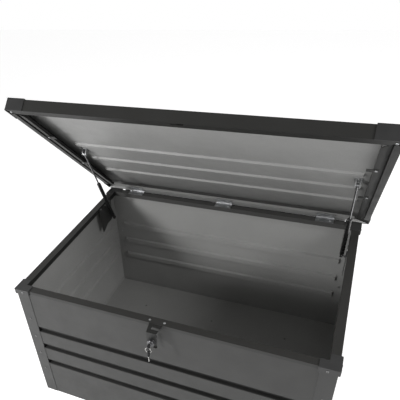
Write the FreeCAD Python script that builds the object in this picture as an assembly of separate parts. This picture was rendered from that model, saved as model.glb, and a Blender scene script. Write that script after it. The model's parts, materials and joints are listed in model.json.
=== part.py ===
"""Sheet-metal storage chest with a lid on gas struts, modelled with its lid open.

Frame: millimetres, +X to the chest's right seen from the front, +Y to the back, +Z up.
The origin is the middle of the underside of the centre floor runner.
The lid is drawn closed and turned about its hinge pins into the open rest position.
"""
import FreeCAD, Part
import math
import os

os.makedirs("parts", exist_ok=True)
V = FreeCAD.Vector

# ---- driving dimensions -------------------------------------------------------------
body_width = 1200.0        # over the corner posts, X
body_depth = 850.0         # over the corner posts, Y
rim_height = 620.0         # top of the rim above the ground

frame_sheet = 1.5          # posts, rim rails, lid profiles, brackets
panel_sheet = 1.0          # wall panels, floor and lid panel
fit_gap = 0.3              # clearance where one sheet ends beside another

post_leg = 55.0            # width of each face of a corner post
rim_width = 31.0           # top flange of the rim rail
rim_skirt = 12.0           # outer skirt of the rim rail
rim_lip = 20.0             # inner lip of the rim rail
gutter_reach = 28.0        # rain gutter folded out of the rear rail, behind the chest
gutter_drop = 20.0         # underside of the gutter below the rim
gutter_lip = 7.0
gutter_end_gap = 3.0       # between the gutter's ends and the rear caps

post_screw_low = 155.0     # lowest screw of a post above the ground
post_screw_pitch = 103.0
post_screw_count = 4
post_screw_inset = 28.0    # from the chest's corner
post_nut_radius = 4.2
post_nut_height = 2.4

groove_pitch = 100.0       # pressed grooves of the walls, centre to centre
groove_height = 30.0
groove_depth = 12.0
groove_slope = 5.0         # how far each side of a groove leans
groove_end = 50.0          # from the chest's side to a groove's end, behind the post's edge
groove_count = 3

floor_lift = 12.0          # underside of the floor above the ground
floor_flange = 21.0        # upturned edge of the floor
runner_width = 40.0
runner_spacing = 226.0
runner_end_gap = 5.0       # from the floor's edge to a runner's end
floor_screw_pitch = 376.0

cap_leg = 60.0             # rim corner caps, along each side
cap_wall = 2.5             # thickness of a rim cap's top
cap_side = 6.0             # thickness of its sides, which stand proud of the posts
cap_skirt = 19.5
cap_round = 5.0
cap_screw_inset = 32.0     # from the chest's corner
cap_screw_drop = 10.5      # below the rim's top

lid_overhang = 30.0        # lid beyond the posts on every side
lid_height = 42.0          # height of the lid's edge profiles
lid_gap = 8.0              # underside of the closed lid above the rim
lid_open = 45.0            # degrees from closed to the stop of the gas struts
lid_front_flange = 30.0    # bottom return flanges of the lid's profiles
lid_side_flange = 50.0
lid_slot_start = 21.0      # channel folded into the side profiles' bottom flange
lid_slot_end = 35.0
lid_slot_depth = 12.0
lid_rear_flange = 60.0
lid_top_flange = 40.0
lid_lip = 11.0
lid_cap_leg = 72.0
lid_cap_wall = 3.0
lid_cap_cover = 40.0       # width of a lid cap's top plate
lid_cap_round = 6.0
lid_cap_screw_inset = 16.0
lid_tab_forward = (360.0, 650.0)   # the tabs' middles in front of the hinge axis
lid_tab_length = 22.0
lid_tab_reach = 20.0       # tab beyond the side profile's flange
lid_groove_first = 181.0   # the rearmost ridge in front of the hinge axis
lid_groove_pitch = 156.0
lid_groove_depth = 8.0
lid_groove_end = 66.0
lid_groove_count = 3

hinge_width = 76.0
hinge_inset = 145.0        # from the chest's side to the middle of an outer hinge
hinge_pin_radius = 2.0
hinge_knuckle_radius = 4.0
hinge_back = 4.5           # hinge axis behind the chest's back
hinge_rise = 3.8           # hinge axis above the rim
hinge_lid_leaf = 40.0
hinge_body_leaf = 28.0
hinge_leaf_sheet = 1.5
hinge_screw_aside = 24.3   # screws from the middle of a hinge
hinge_rim_screw = 16.0     # rim screws in front of the chest's back
hinge_lid_screw = 30.0     # lid screws in front of the hinge axis
running_gap = 0.05         # radial clearance of pins, plug, ball and rod

strut_inset = 50.0         # gas strut plane from the chest's side
strut_foot_front = 110.0   # lower ball of the gas strut, in front of the hinge axis
strut_foot_drop = 110.0    # and below it
strut_head_v = 430.0       # upper pivot, forward of the hinge axis with the lid closed
strut_head_w = 20.0        # and above the lid's underside
cylinder_radius = 9.0
cylinder_length = 265.0    # from the lower ball to the mouth
rod_radius = 3.5
rod_tail = 22.0            # rod left inside the cylinder with the lid open
ball_radius = 5.0
ball_flat = 1.0            # radius of the flat turned on the end of the ball
socket_radius = 8.0
eye_radius = 8.0
eye_width = 8.0
collar = 14.0              # tube's end above the lower ball
neck_radius = 4.5          # threaded neck between the tube and its socket
ferrule_radius = 5.0       # threaded ferrule of the rod's eye
ferrule_length = 16.0
bracket_front = 105.0      # strut bracket in front of and behind the ball
bracket_back = 16.0
bracket_low = 16.0         # its lower edge below the ball
bracket_point = 22.0       # its pointed corner below that edge
bracket_screw_forward = (88.0, 45.0, 2.0)
bracket_screw_drop = 11.0  # below the rail's flange
fork_gap = 14.0            # between the cheeks of the lid's fork
fork_sheet = 2.0
fork_length = 40.0
fork_pin_radius = 3.0
fork_screw_aside = 15.5

lock_below = 42.0          # axis of the lock barrel below the rim's top
lock_reach = 45.0          # lock plate in front of the posts
lock_plate_top = 50.0      # widths of the lock plate
lock_plate_front = 36.0
lock_plate_border = 5.0    # plate below the barrel's head
lock_plate_corner = 8.0    # its cut lower corners
lock_tail = 22.0           # plate behind the chest's front
lock_ear = 9.0             # plate beyond its screws
lock_ear_depth = 16.0
lock_screw_x = 28.0
barrel_round = 1.5
barrel_nut_radius = 14.5
barrel_nut_depth = 5.0
plug_sunk = 0.6            # plug's face behind the barrel's
cam_gap = 0.4              # between the barrel's end and the cam
cam_slot_gap = 1.5         # slot of the lock plate round the cam
cam_nut_radius = 6.5
cam_nut_depth = 2.5
barrel_radius = 9.5
barrel_head_radius = 13.0
barrel_head = 12.0
barrel_body = 24.0
plug_radius = 6.0
cam_length = 56.0
cam_width = 12.0
cam_sheet = 2.0
cam_hook = 6.0
key_blade = 22.0
key_head = 24.0
key_thick = 2.2
ring_radius = 11.0
ring_wire = 0.8

screw_head_radius = 4.5
screw_head = 2.2
screw_shank_radius = 2.0
screw_tip = 1.0            # shank beyond the last sheet

# ---- values worked out from them ----------------------------------------------------
half_w = body_width / 2
half_d = body_depth / 2
hinge_y = half_d + hinge_back
hinge_z = rim_height + hinge_rise
hinge_spacing = half_w - hinge_inset
strut_x = half_w - strut_inset
strut_foot_y = hinge_y - strut_foot_front
strut_foot_z = hinge_z - strut_foot_drop
lock_z = rim_height - lock_below
lid_low = rim_height + lid_gap
lid_top = lid_low + lid_height
panel_face = frame_sheet                 # wall panels lie behind the post faces
panel_top = rim_height - frame_sheet - 2.5
post_top = rim_height - frame_sheet - rim_skirt - fit_gap


# ---- helpers ------------------------------------------------------------------------
def box(low, high):
    return Part.makeBox(high[0] - low[0], high[1] - low[1], high[2] - low[2], V(*low))


def cyl(start, direction, radius, length):
    return Part.makeCylinder(radius, length, V(*start), V(*direction))


def prism(points, direction):
    wire = Part.makePolygon([V(*p) for p in points] + [V(*points[0])])
    return Part.Face(wire).extrude(V(*direction))


def join(shapes):
    first, *rest = shapes
    return first.fuse(rest).removeSplitter() if rest else first


def mirror_x(shape):
    return shape.mirror(V(0, 0, 0), V(1, 0, 0))


def mirror_y(shape):
    return shape.mirror(V(0, 0, 0), V(0, 1, 0))


def turned(shape, degrees, at=(0, 0, 0), axis=(0, 0, 1)):
    copy = shape.copy()
    copy.rotate(V(*at), V(*axis), degrees)
    return copy


def opened(shape):
    """A lid piece, drawn closed, turned up to the open rest position."""
    return turned(shape, -lid_open, (0, hinge_y, hinge_z), (1, 0, 0))


def four_corners(shape):
    """A front-left corner piece and its three mirrored fellows."""
    return {"front_left": shape, "front_right": mirror_x(shape),
            "rear_left": mirror_y(shape), "rear_right": mirror_x(mirror_y(shape))}


def solids_of(shapes):
    return Part.makeCompound([s for shape in shapes for s in shape.Solids])


def save(name, shape):
    if not shape.isValid():
        raise ValueError(name + " is not a valid shape")
    shape.exportStep("parts/" + name + ".step")
    print(name, len(shape.Solids), "solid(s)", round(shape.Volume / 1000.0, 2), "cm3")


def screw(at, outward, reach=4.0):
    """Pan-head screw: its head stands on the face at `at`, its shank goes in by `reach`."""
    out = V(*outward)
    head = Part.makeCylinder(screw_head_radius, screw_head, V(*at), out)
    rim = max(head.Edges, key=lambda e: e.CenterOfMass.dot(out))
    head = head.makeFillet(screw_head * 0.6, [rim])
    shank = Part.makeCylinder(screw_shank_radius, reach, V(*at) - out * reach, out)
    return head.fuse(shank).removeSplitter()


def screw_hole(at, outward, depth=6.0):
    out = V(*outward)
    return Part.makeCylinder(screw_shank_radius, 2 * depth, V(*at) - out * depth, out)


# ---- walls: flat sheets with pressed grooves ----------------------------------------
def pressed_groove(half_length, height, depth, middle, grown=0.0):
    """Tapered pocket in a sheet whose outside is the plane y = 0 and whose inside is +y."""
    half = height / 2
    slope = groove_slope
    return Part.makeWedge(-half_length - grown, 0, middle - half - grown,
                          middle - half + slope - grown, -half_length + slope - grown,
                          half_length + grown, depth + grown, middle + half + grown,
                          middle + half - slope + grown, half_length - slope + grown)


def grooved_sheet(half_length, low, high, groove_half, heights):
    """Sheet standing on the plane y = 0, with its grooves pressed towards +y."""
    sheet = box((-half_length, 0, low), (half_length, panel_sheet, high))
    outer = [pressed_groove(groove_half, groove_height, groove_depth, z, panel_sheet)
             for z in heights]
    inner = [pressed_groove(groove_half, groove_height, groove_depth, z) for z in heights]
    return sheet.fuse(outer).cut(inner).removeSplitter()


groove_heights = [rim_height / 2 + (i - (groove_count - 1) / 2) * groove_pitch
                  for i in range(groove_count)]
corner_space = panel_face + panel_sheet + fit_gap

front_panel = grooved_sheet(half_w - corner_space, 0, panel_top, half_w - groove_end, groove_heights)
front_panel.translate(V(0, -half_d + panel_face, 0))
side_panel = grooved_sheet(half_d - corner_space + panel_sheet, 0, panel_top,
                           half_d - groove_end, groove_heights)
side_panel = turned(side_panel, -90)
side_panel.translate(V(-half_w + panel_face, 0, 0))

# ---- corner posts -------------------------------------------------------------------
post_screw_heights = [post_screw_low + post_screw_pitch * i for i in range(post_screw_count)]


def corner_post():
    x, y = -half_w, -half_d
    post = join([box((x, y, 0), (x + post_leg, y + frame_sheet, post_top)),
                 box((x, y, 0), (x + frame_sheet, y + post_leg, post_top))])
    corner = [e for e in post.Edges
              if abs(e.CenterOfMass.x - x) < 1e-6 and abs(e.CenterOfMass.y - y) < 1e-6
              and e.Length > post_top / 2]
    return post.makeFillet(frame_sheet * 0.9, corner)


def corner_screw_places():
    """Front-left corner: (place on the post's face, outward direction)."""
    places = []
    for z in post_screw_heights:
        places.append(((-half_w + post_screw_inset, -half_d, z), (0, -1, 0)))
        places.append(((-half_w, -half_d + post_screw_inset, z), (-1, 0, 0)))
    return places


post = corner_post()
wall_depth = panel_face + panel_sheet
post_screws, post_nuts = [], []
for place, out in corner_screw_places():
    hole = screw_hole(place, out)
    post = post.cut(hole)
    if out[0]:
        side_panel = side_panel.cut([hole, mirror_y(hole)])
    else:
        front_panel = front_panel.cut([hole, mirror_x(hole)])
    post_screws.append(screw(place, out, reach=wall_depth + post_nut_height))
    seat = V(*place) - V(*out) * (wall_depth + post_nut_height)
    nut = Part.makeCylinder(post_nut_radius, post_nut_height, seat, V(*out))
    post_nuts.append(nut.cut(Part.makeCylinder(screw_shank_radius, post_nut_height, seat, V(*out))))

# ---- floor --------------------------------------------------------------------------
floor_x = half_w - wall_depth - fit_gap
floor_y = half_d - wall_depth - fit_gap
floor_top = floor_lift + panel_sheet
floor_panel = box((-floor_x, -floor_y, floor_lift), (floor_x, floor_y, floor_top + floor_flange))
floor_panel = floor_panel.cut(box((-floor_x + panel_sheet, -floor_y + panel_sheet, floor_top),
                                  (floor_x - panel_sheet, floor_y - panel_sheet,
                                   floor_top + floor_flange + 1)))


def floor_runner(y):
    """Hat section under the floor: flat foot, two webs and two flanges."""
    foot = runner_width * 0.3
    top = runner_width * 0.5
    s = frame_sheet
    outer = [(0, y - foot, 0), (0, y + foot, 0), (0, y + foot, floor_lift - s),
             (0, y + top, floor_lift - s), (0, y + top, floor_lift),
             (0, y + foot - s, floor_lift), (0, y + foot - s, s), (0, y - foot + s, s),
             (0, y - foot + s, floor_lift), (0, y - top, floor_lift),
             (0, y - top, floor_lift - s), (0, y - foot, floor_lift - s)]
    length = 2 * (floor_x - runner_end_gap)
    runner = prism(outer, (length, 0, 0))
    runner.translate(V(-length / 2, 0, 0))
    return runner


runners = {"front": floor_runner(-runner_spacing), "centre": floor_runner(0.0),
           "rear": floor_runner(runner_spacing)}
runner_screw_offset = runner_width * 0.4
floor_screws = []
for name, row in (("front", -1), ("centre", 0), ("rear", 1)):
    for column in (-1, 0, 1):
        place = (column * floor_screw_pitch, row * runner_spacing + runner_screw_offset, floor_top)
        floor_screws.append(screw(place, (0, 0, 1), reach=panel_sheet + frame_sheet))
        hole = screw_hole(place, (0, 0, 1))
        floor_panel = floor_panel.cut(hole)
        runners[name] = runners[name].cut(hole)

# ---- rim rails ----------------------------------------------------------------------
rim_inner_x = half_w - rim_width


def channel_rail(half_length, half_across, width, top, skirt, lip):
    """Inverted channel along X: outer face at y = -half_across, ends mitred at 45 degrees."""
    s = frame_sheet
    y = -half_across
    profile = [(0, y, top), (0, y + width, top), (0, y + width, top - s - lip),
               (0, y + width - s, top - s - lip), (0, y + width - s, top - s),
               (0, y + s, top - s), (0, y + s, top - s - skirt), (0, y, top - s - skirt)]
    rail = prism(profile, (2 * half_length, 0, 0))
    rail.translate(V(-half_length, 0, 0))
    return rail.common(mitre(half_length, half_across, width))


def mitre(half_length, half_across, width):
    """Trapezoid block that cuts both ends of a front rail along the corner diagonals."""
    x, y = half_length - fit_gap / 2, -half_across
    reach = width + 5
    return prism([(-x, y, 0), (x, y, 0), (x - reach, y + reach, 0),
                  (-x + reach, y + reach, 0)], (0, 0, lid_top + 1))


def rain_gutter():
    """Skirt of the rear rail carried on, out and up between the rear caps."""
    s = frame_sheet
    face, out, low = half_d, half_d + gutter_reach, rim_height - gutter_drop
    x = half_w - cap_leg - gutter_end_gap
    profile = [(-x, face - s, rim_height - s), (-x, face, rim_height - s), (-x, face, low + s),
               (-x, out - s, low + s), (-x, out - s, low + gutter_lip), (-x, out, low + gutter_lip),
               (-x, out, low), (-x, face - s, low)]
    return prism(profile, (2 * x, 0, 0))


rim_front = channel_rail(half_w, half_d, rim_width, rim_height, rim_skirt, rim_lip)
gutter = rain_gutter()
rim_rear = join([mirror_y(rim_front), gutter])
rim_left = turned(channel_rail(half_d, half_w, rim_width, rim_height, rim_skirt, rim_lip), -90)
rim_right = mirror_x(rim_left)


def corner_cap(leg, half_x, half_y, top, skirt, wall, side, cover, rounding):
    """Moulded L-shaped cap over the front-left corner: top plate and two outer skirts."""
    x, y = -half_x - side, -half_y - side
    bottom = top - skirt
    block = join([box((x, y, bottom), (x + leg + side, y + cover + side, top + wall)),
                  box((x, y, bottom), (x + cover + side, y + leg + side, top + wall))])
    upright = [e for e in block.Edges if e.Length > skirt * 0.9
               and abs(e.CenterOfMass.x - x) < 1e-6 and abs(e.CenterOfMass.y - y) < 1e-6]
    block = block.makeFillet(rounding, upright)
    upper = [e for e in block.Edges if abs(e.CenterOfMass.z - top - wall) < 1e-6
             and (e.CenterOfMass.x < x + rounding or e.CenterOfMass.y < y + rounding)
             and e.Length > 1.0]
    block = block.makeFillet(wall * 0.5, upper)
    hollow = box((-half_x, -half_y, bottom - 1), (x + leg + side + 1, y + leg + side + 1, top))
    return block.cut(hollow)


rim_cap = corner_cap(cap_leg, half_w, half_d, rim_height, cap_skirt, cap_wall, cap_side, rim_width, cap_round)
cap_screw_z = rim_height - cap_screw_drop
rim_cap_screws = []
for place, out in (((-half_w + cap_screw_inset, -half_d - cap_side, cap_screw_z), (0, -1, 0)),
                   ((-half_w - cap_side, -half_d + cap_screw_inset, cap_screw_z), (-1, 0, 0))):
    reach = cap_side + frame_sheet + screw_tip
    rim_cap_screws.append(screw(place, out, reach=reach))
    hole = screw_hole(place, out, cap_side + wall_depth + screw_tip)
    rim_cap = rim_cap.cut(hole)
    if out[1]:
        holes = [hole, mirror_x(hole)]
        rim_front = rim_front.cut(holes)
        rim_rear = rim_rear.cut([mirror_y(h) for h in holes])
        front_panel = front_panel.cut(holes)
    else:
        holes = [hole, mirror_y(hole)]
        rim_left = rim_left.cut(holes)
        rim_right = mirror_x(rim_left)
        side_panel = side_panel.cut(holes)

rear_panel = mirror_y(front_panel)

# ---- lock plate on the front rim ----------------------------------------------------
under_rim = rim_height - frame_sheet
lock_tail_y = -half_d + lock_tail
lock_face_y = -half_d - lock_reach
lock_drop = lock_z - barrel_head_radius - lock_plate_border
cam_y = lock_face_y + frame_sheet + barrel_body + cam_gap
cam_slot_front = cam_y - cam_hook - cam_slot_gap
cam_slot_back = cam_y + cam_sheet + cam_slot_gap


def lock_bracket():
    """Plate under the rim that reaches forward and turns down to carry the barrel."""
    s = frame_sheet
    a, b = lock_plate_top / 2, lock_plate_front / 2
    flat = prism([(-a, lock_tail_y, under_rim - s), (a, lock_tail_y, under_rim - s),
                  (a, -half_d, under_rim - s), (b, lock_face_y, under_rim - s),
                  (-b, lock_face_y, under_rim - s), (-a, -half_d, under_rim - s)], (0, 0, s))
    low, corner = lock_drop, lock_plate_corner
    down = prism([(-b, lock_face_y, under_rim), (b, lock_face_y, under_rim),
                  (b, lock_face_y, lock_z - corner / 2), (b - corner, lock_face_y, low),
                  (-b + corner, lock_face_y, low), (-b, lock_face_y, lock_z - corner / 2)], (0, s, 0))
    ears = box((-lock_screw_x - lock_ear, lock_tail_y - lock_ear_depth, under_rim - s),
               (lock_screw_x + lock_ear, lock_tail_y, under_rim))
    plate = join([flat, down, ears])
    plate = plate.cut(box((-cam_width / 2 - 2, cam_slot_front, under_rim - s - 1),
                          (a, cam_slot_back, under_rim + 1)))
    return plate.cut(cyl((0, lock_face_y - 1, lock_z), (0, 1, 0), barrel_radius, s + 2))


lock_plate = lock_bracket()
mouth = box((-lock_plate_top / 2 - 1, -half_d - 1, under_rim - rim_skirt - 1),
            (lock_plate_top / 2 + 1, -half_d + frame_sheet + 0.01, under_rim - 0.01))
rim_front = rim_front.cut(mouth)
lock_screws = []
for x in (-lock_screw_x, lock_screw_x):
    place = (x, lock_tail_y - lock_ear_depth / 2, rim_height)
    lock_screws.append(screw(place, (0, 0, 1), reach=2 * frame_sheet + screw_tip))
    hole = screw_hole(place, (0, 0, 1))
    rim_front = rim_front.cut(hole)
    lock_plate = lock_plate.cut(hole)

barrel_front = lock_face_y - barrel_head
barrel = join([cyl((0, barrel_front, lock_z), (0, 1, 0), barrel_head_radius, barrel_head),
               cyl((0, lock_face_y, lock_z), (0, 1, 0), barrel_radius, frame_sheet + barrel_body)])
front_edge = min(barrel.Edges, key=lambda e: e.CenterOfMass.y - 0.001 * e.Length)
barrel = barrel.makeFillet(barrel_round, [front_edge])
barrel = barrel.cut(cyl((0, barrel_front - 1, lock_z), (0, 1, 0), plug_radius + running_gap,
                        barrel_head + frame_sheet + barrel_body + 2))


def hexagon_y(radius, y, depth, bore):
    points = [(radius * math.cos(math.radians(60 * i)), y, lock_z + radius * math.sin(math.radians(60 * i)))
              for i in range(6)]
    return prism(points, (0, depth, 0)).cut(cyl((0, y - 1, lock_z), (0, 1, 0), bore, depth + 2))


barrel_nut = hexagon_y(barrel_nut_radius, lock_face_y + frame_sheet, barrel_nut_depth, barrel_radius)

# plug, cam and key turn together
plug_tail = cam_sheet + 3.0
slot_half = key_thick / 2 + running_gap
plug_front = barrel_front + plug_sunk
plug = join([cyl((0, plug_front, lock_z), (0, 1, 0), plug_radius, cam_y - plug_front),
             cyl((0, cam_y, lock_z), (0, 1, 0), plug_radius * 0.6, plug_tail)])
plug = plug.cut(box((-slot_half, barrel_front - 1, lock_z - 4.0),
                    (slot_half, barrel_front + key_blade + 1, lock_z + 4.0)))


def lock_cam():
    """Flat tongue hanging from the plug, its end bent forward as a hook."""
    half = cam_width / 2
    arm = join([cyl((0, cam_y, lock_z), (0, 1, 0), half + 2, cam_sheet),
                box((-half, cam_y, lock_z - cam_length), (half, cam_y + cam_sheet, lock_z)),
                box((-half, cam_y - cam_hook, lock_z - cam_length),
                    (half, cam_y + cam_sheet, lock_z - cam_length + cam_sheet))])
    return arm.cut(cyl((0, cam_y - 1, lock_z), (0, 1, 0), plug_radius * 0.6, cam_sheet + 2))


cam = lock_cam()
cam_nut = hexagon_y(cam_nut_radius, cam_y + cam_sheet, cam_nut_depth, plug_radius * 0.6)
bow_hole_radius = 2.2
bow_hole_back = 6.5        # from the outer end of the key's head to its ring hole


def key_shape():
    """Key along -y from the origin: blade, shoulder and oval head with a ring hole."""
    half = key_thick / 2
    blade = box((-half, 0, -3.4), (half, key_blade, 3.4))
    for step, bite in enumerate((1.2, 2.0, 0.8, 1.6)):
        y = key_blade - 4.0 - 4.2 * step
        blade = blade.cut(prism([(-half - 1, y - 1.4, -3.41), (-half - 1, y + 1.4, -3.41),
                                 (-half - 1, y, -3.4 + bite)], (key_thick + 2, 0, 0)))
    neck = box((-half, -4.0, -3.4), (half, 0, 3.4))
    return blade.fuse(neck).removeSplitter()


def key_bow(hole_y):
    """Moulded head of a key, around its neck, in the plane x = 0."""
    thick = key_thick + 1.6
    middle = -3.0 - key_head / 2
    oval = Part.Ellipse(V(0, 0, 0), key_head / 2, key_head * 0.42).toShape()
    head = Part.Face(Part.Wire([oval])).extrude(V(0, 0, thick))
    head = turned(head, 90, axis=(0, 0, 1))
    head = turned(head, 90, axis=(0, 1, 0))
    head.translate(V(-thick / 2, middle, 0))
    head = head.cut(cyl((-thick, hole_y, 0), (1, 0, 0), bow_hole_radius, 2 * thick))
    return head.cut(key_shape())


bow_hole_y = -3.0 - key_head + bow_hole_back
key_at = V(0, plug_front, lock_z)
key_metal = key_shape()
key_metal.translate(key_at)
key_grip = key_bow(bow_hole_y)
key_grip.translate(key_at)

# ring through the key's head, spare key hanging from it
ring_slack = bow_hole_radius - ring_wire - fit_gap      # the ring rests on the hole's edge
ring_pivot = V(0, key_at.y + bow_hole_y, lock_z)
ring_centre = ring_pivot - V(0, 0, ring_slack + ring_radius)
split_ring = Part.makeTorus(ring_radius, ring_wire, ring_centre, V(0, 1, 0))
spare_hole = ring_centre - V(0, 0, ring_radius + ring_slack)


def spare_key_part(shape):
    """Hang a key drawn along y so that its ring hole is on the ring's lowest point."""
    hung = shape.copy()
    hung.translate(V(0, -bow_hole_y, 0))
    hung = turned(hung, -90, axis=(1, 0, 0))
    hung.translate(spare_hole)
    return hung


spare_metal = spare_key_part(key_shape())
spare_grip = spare_key_part(key_bow(bow_hole_y))

# ---- lid profiles, drawn closed -----------------------------------------------------
lid_x = half_w + lid_overhang
lid_y = half_d + lid_overhang


def lid_rail(half_length, half_across, flange, slot=None):
    """Channel along X open to the inside: skirt, top flange, bottom flange and its lip."""
    s = frame_sheet
    y = -half_across
    low, top = lid_low, lid_top
    under, over = [(0, y, low)], []
    if slot:
        start, end, depth = slot
        under += [(0, y + start, low), (0, y + start, low + depth), (0, y + end, low + depth),
                  (0, y + end, low)]
        over = [(0, y + end + s, low + s), (0, y + end + s, low + depth + s),
                (0, y + start - s, low + depth + s), (0, y + start - s, low + s)]
    profile = [*under, (0, y + flange, low), (0, y + flange, low + lid_lip),
               (0, y + flange - s, low + lid_lip), (0, y + flange - s, low + s), *over,
               (0, y + s, low + s), (0, y + s, top - s), (0, y + lid_top_flange, top - s),
               (0, y + lid_top_flange, top), (0, y, top)]
    rail = prism(profile, (2 * half_length, 0, 0))
    rail.translate(V(-half_length, 0, 0))
    return rail.common(mitre(half_length, half_across, 2 * lid_rear_flange))


lid_front = lid_rail(lid_x, lid_y, lid_front_flange)
lid_rear = mirror_y(lid_rail(lid_x, lid_y, lid_rear_flange))
lid_slot = (lid_slot_start, lid_slot_end, lid_slot_depth)
lid_left = turned(lid_rail(lid_y, lid_x, lid_side_flange, lid_slot), -90)
inner_left_x = -lid_x + frame_sheet + fit_gap
trim_top = lid_low + lid_slot_depth + frame_sheet + 1
flange_trim = [box((inner_left_x, -lid_y - 1, lid_low - 1),
                   (0, -lid_y + lid_front_flange + fit_gap, trim_top)),
               box((inner_left_x, lid_y - lid_rear_flange - fit_gap, lid_low - 1),
                   (0, lid_y + 1, trim_top))]
lid_left = lid_left.cut(flange_trim)
lid_right = mirror_x(lid_left)


# ---- lid panel with its pressed ridges ----------------------------------------------
lid_edge = frame_sheet + fit_gap
lid_panel_top = lid_top - frame_sheet
lid_groove_half = lid_x - lid_groove_end
lid_groove_places = [hinge_y - lid_groove_first - lid_groove_pitch * i for i in range(lid_groove_count)]


def pressed_lid_panel():
    """Sheet under the top flanges, its grooves pressed down into the lid."""
    sheet = box((-lid_x + lid_edge, 0, -lid_y + lid_edge),
                (lid_x - lid_edge, panel_sheet, lid_y - lid_edge))
    outer = [pressed_groove(lid_groove_half, groove_height, lid_groove_depth, y, panel_sheet)
             for y in lid_groove_places]
    inner = [pressed_groove(lid_groove_half, groove_height, lid_groove_depth, y)
             for y in lid_groove_places]
    sheet = sheet.fuse(outer).cut(inner).removeSplitter()
    sheet = turned(sheet, -90, axis=(1, 0, 0))
    sheet.translate(V(0, 0, lid_panel_top))
    return sheet


lid_panel = pressed_lid_panel()
lid_cap = corner_cap(lid_cap_leg, lid_x, lid_y, lid_top, lid_height + 1.0, lid_cap_wall, lid_cap_wall,
                     lid_cap_cover, lid_cap_round)

# slot in the front flange for the cam's hooked end
lid_front = lid_front.cut([
    box((-8.0, cam_slot_front, lid_low - 1), (34.0, cam_slot_back, lid_low + 3)),
])
catch_plate = box((-14.0, -lid_y + frame_sheet + 1.5, lid_low + frame_sheet),
                  (44.0, -lid_y + lid_front_flange - frame_sheet - 0.5, lid_low + 2 * frame_sheet))
catch_plate = catch_plate.cut([
    box((12.0, cam_slot_front, lid_low), (34.0, cam_slot_back, lid_low + 6)),
    box((-8.0, cam_y - 1.2, lid_low), (13.0, cam_y + cam_sheet + 1.2, lid_low + 6)),
])

# ---- hinges -------------------------------------------------------------------------
knuckle_split = hinge_width / 3


def knuckle(x0, x1):
    return cyl((x0, hinge_y, hinge_z), (1, 0, 0), hinge_knuckle_radius, x1 - x0)


def pin_bore(shape):
    return shape.cut(cyl((-hinge_width, hinge_y, hinge_z), (1, 0, 0),
                         hinge_pin_radius + running_gap, 2 * hinge_width))


def body_leaf():
    """Leaf on the rim top with the two outer knuckles."""
    x = hinge_width / 2
    y1 = half_d - frame_sheet
    root_top = hinge_z - hinge_leaf_sheet
    flat = box((-x, y1 - hinge_body_leaf, rim_height), (x, half_d, rim_height + hinge_leaf_sheet))
    ends = []
    for x0, x1 in ((-x, -x + knuckle_split - fit_gap), (x - knuckle_split + fit_gap, x)):
        ends += [box((x0, half_d - hinge_leaf_sheet, rim_height), (x1, hinge_y, root_top)),
                 knuckle(x0, x1)]
    leaf = join([flat] + ends)
    return pin_bore(leaf)


def lid_leaf():
    """Leaf under the lid's rear flange with the middle knuckle."""
    x = hinge_width / 2
    y0 = hinge_y - hinge_knuckle_radius
    under = lid_low - hinge_leaf_sheet
    flat = box((-x, y0 - hinge_lid_leaf, under), (x, y0 - 1.0, lid_low))
    inner = x - knuckle_split
    tongue = box((-inner, y0 - 2.0, under), (inner, hinge_y, lid_low))
    leaf = join([flat, tongue, knuckle(-inner, inner)])
    return pin_bore(leaf)


body_leaf_one, lid_leaf_one = body_leaf(), lid_leaf()
hinge_places = {"left": -hinge_spacing, "centre": 0.0, "right": hinge_spacing}
hinge_screws_body, hinge_screws_lid = [], []
for x in hinge_places.values():
    for side in (-hinge_screw_aside, hinge_screw_aside):
        rim_place = (x + side, half_d - hinge_rim_screw, rim_height + hinge_leaf_sheet)
        hinge_screws_body.append(screw(rim_place, (0, 0, 1), hinge_leaf_sheet + frame_sheet + screw_tip))
        rim_rear = rim_rear.cut(screw_hole(rim_place, (0, 0, 1)))
        lid_place = (x + side, hinge_y - hinge_lid_screw, lid_low - hinge_leaf_sheet)
        hinge_screws_lid.append(screw(lid_place, (0, 0, -1), hinge_leaf_sheet + frame_sheet + screw_tip))
        lid_rear = lid_rear.cut(screw_hole(lid_place, (0, 0, -1)))
leaf_holes = [screw_hole((side, half_d - hinge_rim_screw, rim_height), (0, 0, 1))
              for side in (-hinge_screw_aside, hinge_screw_aside)]
leaf_holes_lid = [screw_hole((side, hinge_y - hinge_lid_screw, lid_low), (0, 0, 1))
                  for side in (-hinge_screw_aside, hinge_screw_aside)]
body_leaf_one = body_leaf_one.cut(leaf_holes)
lid_leaf_one = lid_leaf_one.cut(leaf_holes_lid)


def placed(shape, x):
    copy = shape.copy()
    copy.translate(V(x, 0, 0))
    return copy


hinge_pins = [cyl((x - hinge_width / 2 - 1, hinge_y, hinge_z), (1, 0, 0), hinge_pin_radius, hinge_width + 2)
              for x in hinge_places.values()]

# ---- gas struts ---------------------------------------------------------------------
foot = V(strut_x, strut_foot_y, strut_foot_z)
head_closed = V(strut_x, hinge_y - strut_head_v, lid_low + strut_head_w)
turn = FreeCAD.Rotation(V(1, 0, 0), -lid_open)
hinge_point = V(strut_x, hinge_y, hinge_z)
head = hinge_point + turn.multVec(head_closed - hinge_point)
strut_dir = (head - foot).normalize()
strut_length = (head - foot).Length

lip_face = rim_inner_x                    # inner face of the side rim lip
plate_x = lip_face - frame_sheet


def wall_bracket():
    """Plate screwed to the rim's inner lip, hanging down to carry the ball stud."""
    top = rim_height - frame_sheet - 3.0
    y0, y1 = strut_foot_y - bracket_front, strut_foot_y + bracket_back
    low = strut_foot_z - bracket_low
    point = low - bracket_point
    outline = [(plate_x, y0, top), (plate_x, y1, top), (plate_x, y1, low + 12), (plate_x, y1 - 10, low),
               (plate_x, strut_foot_y - 40, low), (plate_x, y0 + 22, point), (plate_x, y0 + 12, point)]
    return prism(outline, (frame_sheet, 0, 0))


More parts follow.
